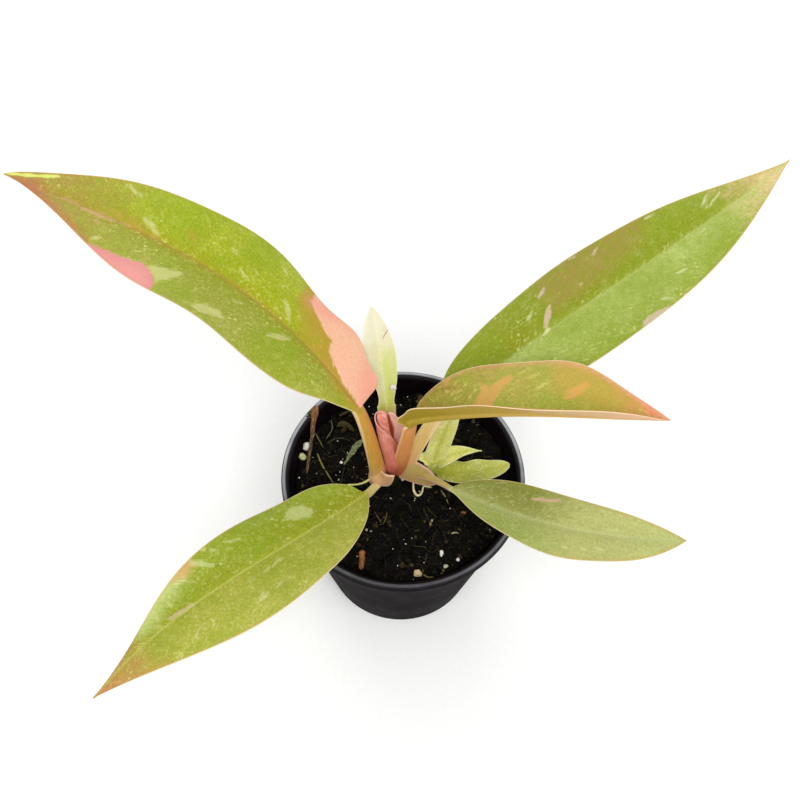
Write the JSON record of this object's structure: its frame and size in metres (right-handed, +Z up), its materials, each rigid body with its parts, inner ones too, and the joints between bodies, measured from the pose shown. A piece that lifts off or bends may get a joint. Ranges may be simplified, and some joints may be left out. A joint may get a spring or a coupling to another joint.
{
  "type": "potted ring of fire philodendron",
  "caption": "Young philodendron with long lance-shaped leaves marked in cream, pink and orange, rooted in potting mix in a small round tapered nursery pot.",
  "frame": {"origin": "centre of the pot's flat underside, on the surface that the pot stands on", "axes": "+Z up out of the pot, +X to the right and +Y away from the viewer in the picture's view"},
  "size_m": [0.1805, 0.1208, 0.106],
  "materials": {
    "pot": "moulded black polypropylene, satin, with a worn grey lip",
    "soil": "damp dark peat with bark, fibre and perlite",
    "stem": "fleshy green-brown stem with pale roots",
    "new_leaf": "smooth rolled new leaf, salmon pink",
    "leaf_folded": "satin olive leaf with orange patches and a cream-pink margin",
    "leaf_upper_left": "satin yellow-green leaf with salmon-pink sectors and cream flecks",
    "leaf_upper_right": "satin green leaf with a brown tint and cream streaks",
    "leaf_lower_right": "satin dull green leaf with a pale midrib and an orange margin",
    "leaf_lower_left": "satin lime-green leaf with pale streaks and an orange-pink tip",
    "leaf_pale": "satin cream and yellow-green leaf",
    "side_shoot": "satin pale lime young leaves",
    "root": "dull pale root",
    "twig": "rough brown bark",
    "perlite": "chalky white expanded grain",
    "pebble": "matt beige grit",
    "dry_leaf": "dull grey-green withered leaf"
  },
  "bodies": {
    "root": {"pot": "pot", "soil": "soil", "stem": "stem", "new_leaf": "new_leaf", "leaf_folded": "leaf_folded", "leaf_upper_left": "leaf_upper_left", "leaf_upper_right": "leaf_upper_right", "leaf_lower_right": "leaf_lower_right", "leaf_lower_left": "leaf_lower_left", "leaf_small_upright": "leaf_pale", "side_shoot": "side_shoot", "aerial_root": "root", "twig_long": "twig", "twig_short": "twig", "perlite_large": "perlite", "perlite_green": "perlite", "perlite_left": "perlite", "perlite_front": "perlite", "perlite_right": "perlite", "pebble": "pebble", "leaf_scrap": "dry_leaf"}
  },
  "joints": []
}
